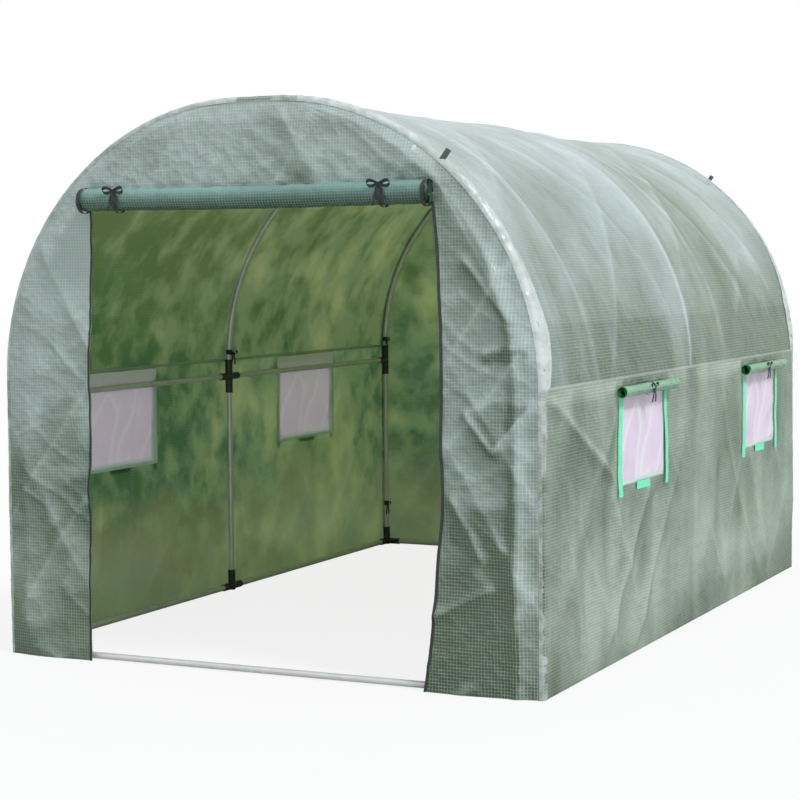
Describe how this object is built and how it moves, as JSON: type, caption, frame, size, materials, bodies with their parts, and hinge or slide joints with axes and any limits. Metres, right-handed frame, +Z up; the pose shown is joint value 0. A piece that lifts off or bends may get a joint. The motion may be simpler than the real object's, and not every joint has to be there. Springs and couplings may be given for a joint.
{
  "type": "polytunnel greenhouse",
  "caption": "walk-in polytunnel greenhouse with a round-topped tube frame, green reinforced sheet cover, rolled-up zip door and mesh windows",
  "frame": {"origin": "middle of the whole footprint, on the ground", "axes": "X to the right seen from the doorway, Y from the doorway to the rear, Z up"},
  "size_m": [2.0976, 3.0867, 1.89],
  "materials": {
    "steel_tube": "galvanised, satin",
    "joint_plastic": "moulded, slightly worn",
    "cover_sheet": "translucent reinforced sheet with a white grid, creased",
    "rolled_sheet": "the same sheet in several layers",
    "black_tape": "woven tape",
    "window_mesh": "fine pale netting",
    "mint_strip": "hook and loop tape"
  },
  "bodies": {
    "root": {"front_legs": "steel_tube", "middle_legs": "steel_tube", "rear_legs": "steel_tube", "front_arches": "steel_tube", "middle_arches": "steel_tube", "rear_arches": "steel_tube", "left_base_rails": "steel_tube", "right_base_rails": "steel_tube", "front_base_rail": "steel_tube", "rear_base_rail": "steel_tube", "left_eave_rails": "steel_tube", "right_eave_rails": "steel_tube", "ridge_poles": "steel_tube", "base_corner_joints": "joint_plastic", "base_middle_joints": "joint_plastic", "eave_end_joints": "joint_plastic", "eave_middle_joints": "joint_plastic", "ridge_joints": "joint_plastic", "left_wall_cover": "cover_sheet", "right_wall_cover": "cover_sheet", "left_roof_haunch": "cover_sheet", "left_roof_shoulder": "cover_sheet", "left_roof_crown": "cover_sheet", "roof_ridge_strip": "cover_sheet", "right_roof_crown": "cover_sheet", "right_roof_shoulder": "cover_sheet", "right_roof_haunch": "cover_sheet", "front_left_panel": "cover_sheet", "front_right_panel": "cover_sheet", "front_top_panel": "cover_sheet", "rear_panel": "cover_sheet", "door_roll": "rolled_sheet", "left_window_rolls": "rolled_sheet", "right_window_rolls": "rolled_sheet", "door_roll_bands": "black_tape", "door_edge_zips": "black_tape", "window_roll_ties": "black_tape", "frame_ties": "black_tape", "left_window_meshes": "window_mesh", "right_window_meshes": "window_mesh", "window_strips": "mint_strip"}
  },
  "joints": []
}
